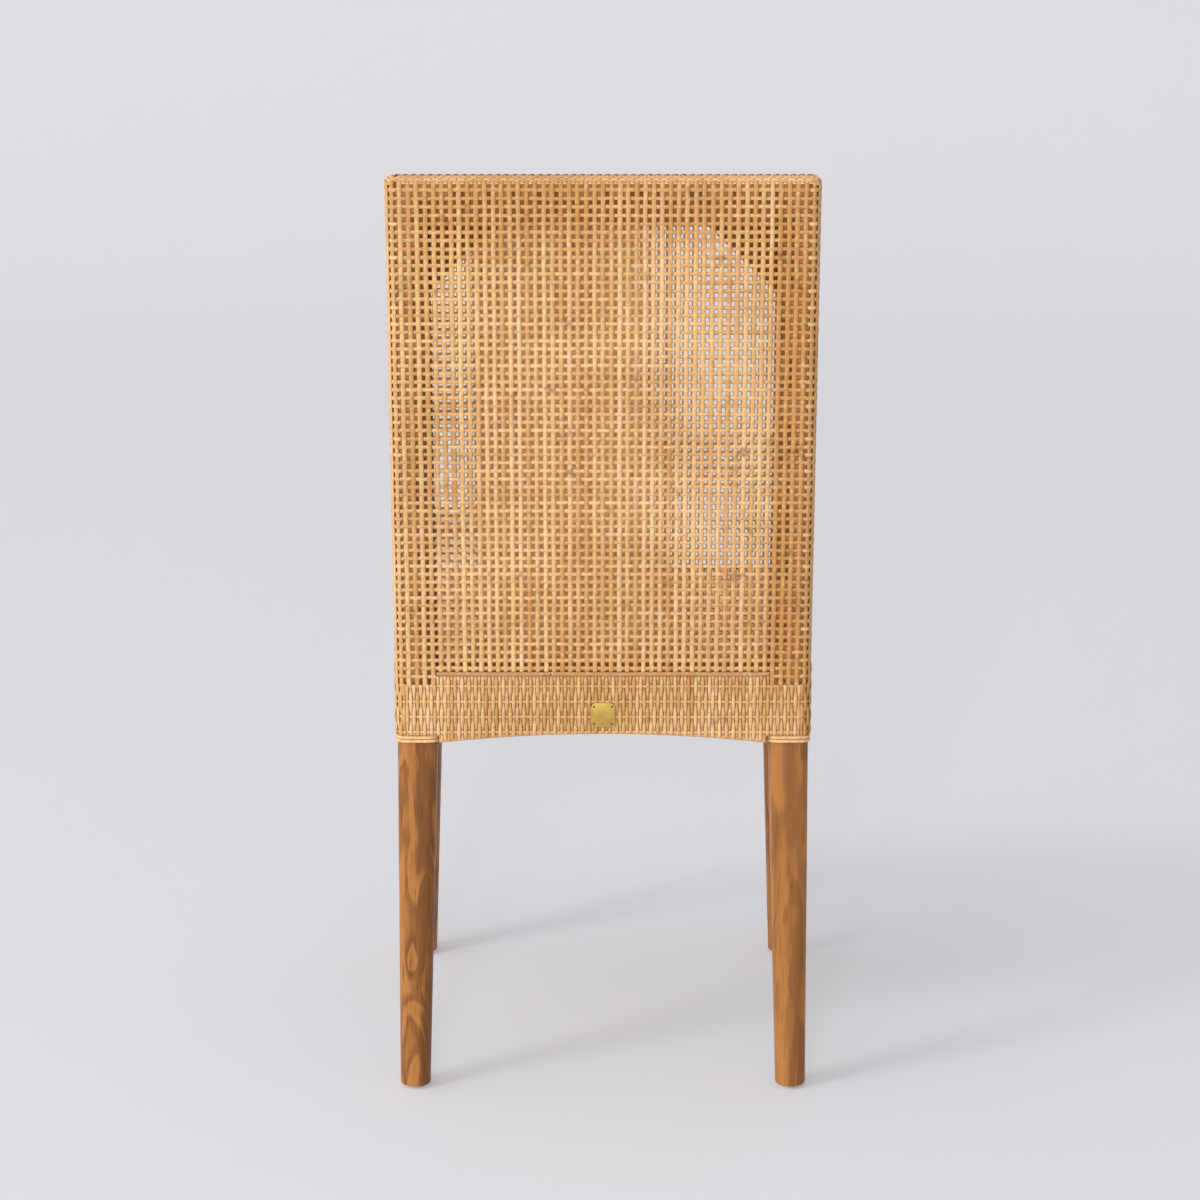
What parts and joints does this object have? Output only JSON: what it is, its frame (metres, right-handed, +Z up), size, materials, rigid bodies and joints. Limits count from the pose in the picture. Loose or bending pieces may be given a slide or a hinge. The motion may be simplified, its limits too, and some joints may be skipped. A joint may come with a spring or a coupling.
{
  "type": "dining chair",
  "caption": "High-back dining chair with tapered hardwood legs, its back, seat and aprons dressed in woven cane, and a small plain brass plate behind the seat.",
  "frame": {"origin": "centre of the footprint, on the floor", "axes": "+Z up; the sitter faces -Y; the sitter's left hand is on +X"},
  "size_m": [0.476, 0.5352, 1.032],
  "materials": {
    "teak": "oiled, satin, with a dark figured grain",
    "frame_wood": "plain sawn, matte",
    "cane": "flat-split cane, satin",
    "pale_cane": "flat-split cane, satin",
    "batten_cane": "split cane, satin",
    "brass": "aged, satin, bare",
    "steel": "zinc plated",
    "plastic": "matte"
  },
  "bodies": {
    "root": {"rear_leg_left": "teak", "rear_leg_right": "teak", "front_leg_left": "teak", "front_leg_right": "teak", "top_rail": "frame_wood", "gusset_left": "frame_wood", "gusset_right": "frame_wood", "gusset_left_dowel_side": "frame_wood", "gusset_left_dowel_top": "frame_wood", "gusset_right_dowel_side": "frame_wood", "gusset_right_dowel_top": "frame_wood", "rear_rail": "frame_wood", "front_rail": "frame_wood", "side_rail_left": "frame_wood", "side_rail_right": "frame_wood", "seat_slat_1": "frame_wood", "seat_slat_2": "frame_wood", "seat_slat_3": "frame_wood", "corner_block_front_left": "frame_wood", "corner_block_front_right": "frame_wood", "corner_block_rear_left": "frame_wood", "corner_block_rear_right": "frame_wood", "cane_back_rear": "cane", "cane_back_front": "cane", "cane_side_band_left": "cane", "cane_side_band_right": "cane", "cane_seat": "cane", "cane_apron_front": "cane", "cane_apron_rear": "cane", "cane_apron_left": "cane", "cane_apron_right": "cane", "top_braid": "pale_cane", "corner_strand_rear_left": "pale_cane", "corner_strand_rear_right": "pale_cane", "corner_strand_front_left": "pale_cane", "corner_strand_front_right": "pale_cane", "corner_strand_seat_left": "pale_cane", "corner_strand_seat_right": "pale_cane", "leg_collar_rear_left": "pale_cane", "leg_collar_rear_right": "pale_cane", "leg_collar_front_left": "pale_cane", "leg_collar_front_right": "pale_cane", "batten_left": "batten_cane", "batten_right": "batten_cane", "brass_plate": "brass", "brass_plate_pin_1": "brass", "brass_plate_pin_2": "brass", "brass_plate_pin_3": "brass", "brass_plate_pin_4": "brass", "batten_pin": "steel", "corner_block_front_left_bolt": "steel", "corner_block_front_right_bolt": "steel", "corner_block_rear_left_bolt": "steel", "corner_block_rear_right_bolt": "steel", "glide_front_left": "plastic", "glide_front_right": "plastic", "glide_rear_left": "plastic", "glide_rear_right": "plastic"}
  },
  "joints": []
}
